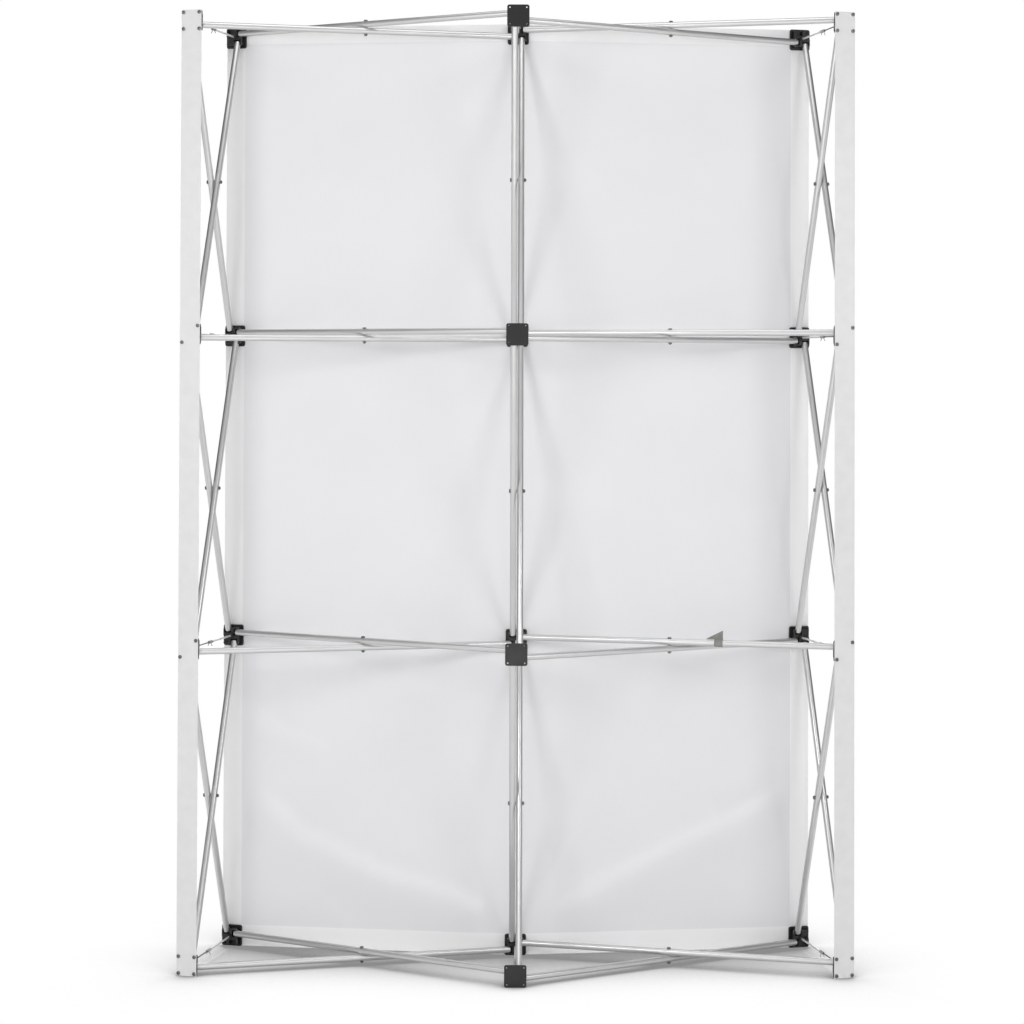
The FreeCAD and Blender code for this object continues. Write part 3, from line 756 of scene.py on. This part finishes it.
def make_tube(name, start, end, outward, crossing, opening, screw, extra=None):
    along_it = (end - start).normalized()
    place = axes(start, along_it.cross(outward), along_it)
    piece = bmesh.new()
    skin = grown(tube_tree, [place @ Vector((0, stop, 0)) for stop in TUBE_STOPS], [(k, k + 1) for k in range(5)],
                 {"Radius": TUBE_RADIUS, "Sides": 28, "Metal": tube_satin}, [("girth", "FLOAT", "value", TUBE_GIRTH)])
    far_end = Matrix.Translation((0, TUBE_LENGTH, 0)) @ Matrix.Rotation(math.pi, 4, "Z")
    cuts = []
    for layer, end_place in (("front", place), ("back", place @ far_end)):
        hole = pin_hole(PIN_HOLES[opening == layer])
        hole.transform(end_place)
        cuts.append(("DIFFERENCE", hole))
        add(piece, plugs[opening == layer], end_place, 1)
    add(piece, carve(skin, cuts))
    middle = place @ Matrix.Translation((0, crossing, 0))
    if screw in ("head", "full"):
        add(piece, heads(mid_head, [middle @ Vector((0, 0, 7.45 * MM))], place.to_3x3() @ UP, len(name)), material=2)
        add(piece, washer, middle, 3)
        lathe(piece, rod_profile(-28.1 if screw == "full" else -8, 7.4, 2, 0.3), middle, 2, 16)
    if screw == "nut":
        lathe(piece, rod_profile(-7.4, 12.1, 2, 0.3), middle, 2, 16)
    if screw in ("full", "nut"):
        nut_place = -26.7 if screw == "full" else 7.5
        add(piece, nut, middle @ Matrix.Translation((0, 0, nut_place * MM)) @ nut_up, 2)
    if extra:
        extra(piece, start, along_it)
    complete(piece, "drawn_" + name, TUBE_FINISHES, name, [name])


# %% [markdown]
# ## The grey tab
# A loop of grey webbing sits round one rail in the right-hand bay, with a triangular
# flag that stands up. What it is for can't be seen in the photograph.

# %% Grey tab
TAB_SHARE = 0.635


def grey_tab(piece, start, along_it):
    place = axes(start + along_it * TUBE_LENGTH * TAB_SHARE, along_it.cross(UP), along_it)
    loop = in_mm([(7.7, -10), (8.9, -10), (9.0, -9.6), (9.0, 9.6), (8.9, 10), (7.7, 10)])
    lathe(piece, loop, place @ along_y, 4, 28, True)
    corners = in_mm([(10, 8.4), (-29, 8.4), (-29, 9.6), (9.2, 29.4), (10, 28.6)])
    flag = bmesh.new()
    thicken(flag, flag.faces.new([flag.verts.new((-0.5 * MM, y, z)) for y, z in corners]), (1 * MM, 0, 0))
    add(piece, as_mesh(flag, "flag"), place, 4)


# %% Rails, from column to column
def pivots(heading, places):
    """Both pivots of a tube, the front one first. A place is (column, row, across, up) from that hub's centre."""
    layers = ("front", "back") if heading.endswith("back") else ("back", "front")
    ends = {layer: hub_centre(layer, column, row) + side_line(column) * across + UP * up
            for layer, (column, row, across, up) in zip(layers, places)}
    return ends["front"], ends["back"]


for bay, left in (("left", -1), ("right", 0)):
    for row in ROWS:
        for heading, screw, side in (("going_back", "head", 1), ("going_front", "nut", -1)):
            up = TUBE_SIDE * side
            ends = pivots(heading, [(left, row, PIVOT_OFFSET, up), (left + 1, row, -PIVOT_OFFSET, up)])
            tab = grey_tab if (bay, row, heading) == ("right", 2, "going_back") else None
            make_tube(f"rail_{bay}_{row}_{heading}", *ends, UP * side, RAIL_CROSSING, None, screw, tab)
print("rails made", 16)

# %% Posts, from row to row
for word, column in COLUMNS.items():
    for bay in BAYS:
        for heading, screw, side, opening in (("rising_back", "head", -1, "back"), ("rising_front", "nut", 1, "front")):
            across = TUBE_SIDE * side
            ends = pivots(heading, [(column, bay, across, PIVOT_OFFSET), (column, bay + 1, across, -PIVOT_OFFSET)])
            if not column:
                screw, opening = ("full" if heading == "rising_back" else None), None
            make_tube(f"post_{word}_{bay}_{heading}", *ends, side_line(column) * side, POST_CROSSING, opening, screw)
print("posts made", 18)

# %% [markdown]
# ## The cloth
# One sheet is held flat against the twelve front hubs and hangs free between them.
# Between two rows nothing holds it to the centre column, so the pull of its sides draws
# it forward there, in a soft hump. A simulation would find this shape slowly, so a rule
# gives it: a line seen from above, bent sharply at a hub and widely between two hubs.
# Small folds and a soft unevenness are added along the sheet's normal, and they fade
# out at the hubs.

# %% The cloth's line seen from above
CLOTH_FACE, BULGE = 19.75 * MM, 13 * MM
LOW_EDGE, HIGH_EDGE = 1 * MM, HEIGHT - 1 * MM
SIDE_HEM, LOW_HEM, TOP_HEM = 47 * MM, 50 * MM, 40 * MM


def smooth(low, high, value):
    share = min(1, max(0, (value - low) / (high - low)))
    return share * share * (3 - 2 * share)


def hump(height):
    """0 at a row of hubs, 1 midway between two rows."""
    place = (height - HUB_HALF) % ROW_PITCH
    low, high = HUB_HALF, ROW_PITCH - HUB_HALF
    if height < HUB_HALF or height > HEIGHT - HUB_HALF or not low < place < high:
        return 0.0
    return math.sin(math.pi * (place - low) / (high - low))


def line_at(height):
    points = []
    for column in COLUMNS.values():
        centre = hub_centre("front", column, 1) + facing(column) * CLOTH_FACE
        centre.y += 0 if column else BULGE * hump(height)
        points += [centre - side_line(column) * HUB_HALF, centre + side_line(column) * HUB_HALF]
    return points


rest_line = line_at(0)
marks = [0.0]
for start, end in zip(rest_line, rest_line[1:]):
    marks.append(marks[-1] + (end.xy - start.xy).length)
HALF_WIDTH = marks[-1] / 2
marks = [mark - HALF_WIDTH for mark in marks]
print(f"cloth {2 * HALF_WIDTH:.4f} m wide, {HIGH_EDGE - LOW_EDGE:.4f} m high")


def on_line(points, across):
    across = min(HALF_WIDTH, max(-HALF_WIDTH, across))
    for k in range(5):
        if across <= marks[k + 1] or k == 4:
            share = (across - marks[k]) / (marks[k + 1] - marks[k])
            return points[k].lerp(points[k + 1], share)


def edge_distance(across, height):
    return min(HALF_WIDTH - abs(across), height - LOW_EDGE, HIGH_EDGE - height)


# %% Folds and unevenness
HUB_SPOTS = [(across, HUB_HALF + row * ROW_PITCH)
             for across in (marks[0] + HUB_HALF, 0, marks[5] - HUB_HALF) for row in range(4)]
FOLDS = [  # points (across, height) in metres, rise towards the camera, width above the fold and below it
    ([(-0.660, 0.385), (-0.524, 0.265), (-0.342, 0.182), (-0.160, 0.134), (-0.027, 0.070)], 15 * MM, 0.022, 0.075),
    ([(0.672, 0.379), (0.540, 0.310), (0.414, 0.258), (0.244, 0.173), (0.073, 0.076)], 15 * MM, 0.022, 0.070),
    ([(-0.475, 0.105), (-0.395, 0.052)], 2.5 * MM, 0.012, 0.030),
    ([(0.030, 0.060), (0.140, 0.270), (0.190, 0.420)], 4 * MM, 0.018, 0.035),
    ([(0.200, 0.520), (0.330, 0.620), (0.520, 0.700)], 5 * MM, 0.030, 0.050),
    ([(-0.660, 0.560), (-0.560, 0.500), (-0.450, 0.470)], 5 * MM, 0.022, 0.045),
    ([(0.640, 0.460), (0.560, 0.400), (0.470, 0.370)], 4 * MM, 0.020, 0.040),
]


def near_fold(points, here):
    """How far a point is from a fold's line, which share of the line lies before it, and if it is above."""
    nearest, along, above = 1.0, 0.0, True
    for count, (start, end) in enumerate(zip(points, points[1:])):
        start, end = Vector(start), Vector(end)
        share = min(1, max(0, (here - start).dot(end - start) / (end - start).length_squared))
        foot = start.lerp(end, share)
        if (here - foot).length < nearest:
            nearest, along, above = (here - foot).length, (count + share) / (len(points) - 1), here.y > foot.y
    return nearest, along, above


def unevenness(across, height):
    lift = (1.5 * MM * noise.noise((across * 2.6, height * 1.7, 3.1))
            + 0.5 * MM * noise.noise((across * 9, height * 6, 7.7)))
    here = Vector((across, height))
    for points, rise, width_above, width_below in FOLDS:
        gap, along, above = near_fold(points, here)
        width = width_above if above else width_below
        lift -= rise * math.exp(-((gap / width) ** 2)) * smooth(0, 0.15, along) * smooth(1, 0.85, along)
    # over a column of hubs the sheet only rises off them, so that it stays clear when they stack up
    column = min(abs(across - spot[0]) for spot in HUB_SPOTS)
    lift += (abs(lift) - lift) * smooth(0.048, 0.030, column)
    calm = min((here - Vector(spot)).length for spot in HUB_SPOTS)
    return lift * smooth(0.034, 0.13, calm) * (0.35 + 0.65 * smooth(0, 0.12, edge_distance(across, height)))


def cloth_place(across, height):
    """A point of the sheet's middle surface, before the folds."""
    points = line_at(height)
    near_centre = smooth(0.36, 0.1, abs(across))
    spread = 7 * MM + (120 * MM * near_centre + 14 * MM * (1 - near_centre)) * hump(height)
    spread = min(spread, HALF_WIDTH - abs(across))
    total = Vector((0, 0, 0))
    for step, weight in ((-1, 1), (-0.66, 2), (-0.33, 3), (0, 4), (0.33, 3), (0.66, 2), (1, 1)):
        total += on_line(points, across + step * spread) * (weight / 16)
    total.z = height
    return total


print("cloth rule at the middle of a bay", [round(v, 4) for v in cloth_place(0, 0.39)])

# %% [markdown]
# ### From the rule to a mesh
# A grid of points follows the rule. The hem is folded twice and sewn, so it is thicker:
# grid lines stand at the hem's inner edge, and the two faces of the sheet part a little
# more outside them. On the face seen from behind the hem is a lighter white, partly for its
# double cloth and partly as painted light from the floor's bounce and light through the
# cloth, and the printed side stays plain. The UV map holds each point's place on the flat
# sheet in metres, so the knit keeps its scale wherever the cloth bends.

# %% Cloth mesh
def grid_lines(stops, step):
    lines = []
    for start, end in zip(stops, stops[1:]):
        count = max(1, round((end - start) / step))
        lines += [start + (end - start) * k / count for k in range(count)]
    return lines + [stops[-1]]


step = 0.0105
RIM, HEM_STEP, PLAIN_HALF, HEM_HALF = 1 * MM, 1.5 * MM, 0.35 * MM, 0.62 * MM
inner, low_seam, top_seam = HALF_WIDTH - SIDE_HEM, LOW_EDGE + LOW_HEM, HIGH_EDGE - TOP_HEM
right_stops = [inner, inner + HEM_STEP, HALF_WIDTH - RIM, HALF_WIDTH]
across_lines = grid_lines([-stop for stop in reversed(right_stops)] + [-HUB_HALF, HUB_HALF] + right_stops, step)
height_lines = grid_lines([LOW_EDGE, LOW_EDGE + RIM, low_seam - HEM_STEP, low_seam,
                           top_seam, top_seam + HEM_STEP, HIGH_EDGE - RIM, HIGH_EDGE], step)


def middle_and_normal(across, height):
    small = 1.5 * MM
    right = cloth_place(min(across + small, HALF_WIDTH), height) - cloth_place(max(across - small, -HALF_WIDTH), height)
    rise = cloth_place(across, min(height + small, HIGH_EDGE)) - cloth_place(across, max(height - small, LOW_EDGE))
    normal = rise.cross(right).normalized()
    if normal.y < 0:
        normal.negate()
    return cloth_place(across, height) + normal * unevenness(across, height), normal


def in_hem(across, height):
    seam = 0.7 * MM
    return abs(across) > inner + seam or height < low_seam - seam or height > top_seam + seam


def half_thickness(across, height):
    thick = in_hem(across, height) and edge_distance(across, height) >= 0.5 * MM
    return HEM_HALF if thick else PLAIN_HALF


sheet = bmesh.new()
flat_map = sheet.loops.layers.uv.new("UVMap")
near_side, far_side, flat_place = {}, {}, {}
for i, across in enumerate(across_lines):
    for j, height in enumerate(height_lines):
        middle, normal = middle_and_normal(across, height)
        half = half_thickness(across, height)
        near_side[i, j] = sheet.verts.new(middle - normal * half)
        far_side[i, j] = sheet.verts.new(middle + normal * half)
        flat_place[near_side[i, j]] = flat_place[far_side[i, j]] = (across + HALF_WIDTH, height)


def cloth_face(corners, order, material):
    face = sheet.faces.new(corners[::order])
    face.material_index = material
    for loop in face.loops:
        loop[flat_map].uv = flat_place[loop.vert]


last_i, last_j = len(across_lines) - 1, len(height_lines) - 1
for i in range(last_i):
    for j in range(last_j):
        mid = ((across_lines[i] + across_lines[i + 1]) / 2, (height_lines[j] + height_lines[j + 1]) / 2)
        for side, order, material in ((near_side, 1, int(in_hem(*mid))), (far_side, -1, 0)):
            cloth_face([side[i, j], side[i + 1, j], side[i + 1, j + 1], side[i, j + 1]], order, material)
for j in range(last_j):
    for i, order in ((0, 1), (last_i, -1)):
        cloth_face([near_side[i, j + 1], far_side[i, j + 1], far_side[i, j], near_side[i, j]], order, 1)
for i in range(last_i):
    for j, order in ((0, 1), (last_j, -1)):
        cloth_face([near_side[i, j], far_side[i, j], far_side[i + 1, j], near_side[i + 1, j]], order, 1)
stretched_cloth = complete(sheet, "stretched_cloth", [cloth_white, hem_white], "hub_front_centre_1",
                           ["fabric_panel"], 60)
print("cloth faces", len(stretched_cloth.data.polygons))

# %% [markdown]
# ### Stitches
# A line of stitches holds the hem down, 4 mm apart, close to its inner edge, and shows on
# both faces. The third tree sets a small bead of thread at each step along the seam.
# They stay a piece of their own, because they are thread and not cloth.

# %% Hem stitches
inset = 4 * MM
seam_corners = [(-inner - inset, low_seam - inset), (inner + inset, low_seam - inset),
                (inner + inset, top_seam + inset), (-inner - inset, top_seam + inset)]
stitch_sizes = {"Spacing": 4 * MM, "Stitch Length": 3.1 * MM, "Thread Radius": 0.28 * MM, "Thread": thread_white}
stitches = bmesh.new()
for side in (-1, 1):
    points = []
    for start, end in zip(seam_corners, seam_corners[1:] + seam_corners[:1]):
        steps = round(math.dist(start, end) / 0.012)
        for k in range(steps):
            across, height = (start[n] + (end[n] - start[n]) * k / steps for n in range(2))
            middle, normal = middle_and_normal(across, height)
            points.append(middle + normal * side * 0.66 * MM)
    seam_edges = [(k, (k + 1) % len(points)) for k in range(len(points))]
    add(stitches, grown(stitch_tree, points, seam_edges, stitch_sizes))
hem_stitches = complete(stitches, "hem_stitches", [thread_white], "hub_front_centre_1", ["fabric_panel"], 60)
print("stitch faces", len(hem_stitches.data.polygons))

# %% [markdown]
# ## End strips
# A flat strip of white plastic is screwed up each outer column of back hubs. It is a
# plain slab with slightly eased edges, in the fine grain of sheet plastic.

# %% End strips
STRIP_HALF = 24.5 * MM
strips = []
low, high = 0.5 * MM - HUB_HALF, HEIGHT - HUB_HALF - 0.5 * MM
levels = [low + (high - low) * k / 24 for k in range(25)]
outline = [(-STRIP_HALF, z) for z in reversed(levels)] + [(STRIP_HALF, z) for z in levels]
for word in ("left", "right"):
    column = COLUMNS[word]
    piece = bmesh.new()
    add(piece, as_mesh(slab(outline, -STRIP_NEAR, -STRIP_FAR, 0.3 * MM), "strip"),
        axes(hub_centre("back", column, 1), side_line(column), facing(column)))
    strips.append(complete(piece, f"strip_{word}", [strip_white], f"hub_back_{word}_1", ["end_strips"],
                           30))
print("strips", [s.name for s in strips])

# %% [markdown]
# ## Folding
# When the wall folds, its rows and columns come together like a closing fan, and the
# cloth gathers between the hubs. A hinge can't carry that, so across the width two Hook
# modifiers carry the cloth and its stitches along: fully over the side columns, and less
# and less towards the centre column, as each point's weight says.

# %% Fold the soft pieces
for piece in [stretched_cloth, hem_stitches] + strips:
    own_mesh(piece)
inner_edge = FRONT_CHORD * math.cos(TURN / 2) - HUB_HALF * math.cos(TURN)


def carried_along(piece, word):
    """Hooks a soft piece to a side column: fully over its hubs, not at all over the centre's."""
    weights = piece.vertex_groups.new(name="with_" + word)
    for vertex in piece.data.vertices:
        share = (vertex.co.x * COLUMNS[word] - HUB_HALF) / (inner_edge - HUB_HALF)
        if share > 0:
            weights.add([vertex.index], min(1, share), "REPLACE")
    hook = piece.modifiers.new("with_" + word, "HOOK")
    hook.object, hook.vertex_group = frame["bodies"][f"hub_front_{word}_1"], weights.name
    hook.matrix_inverse = hook.object.matrix_world.inverted() @ piece.matrix_world


for piece in (stretched_cloth, hem_stitches):
    for word in ("left", "right"):
        carried_along(piece, word)
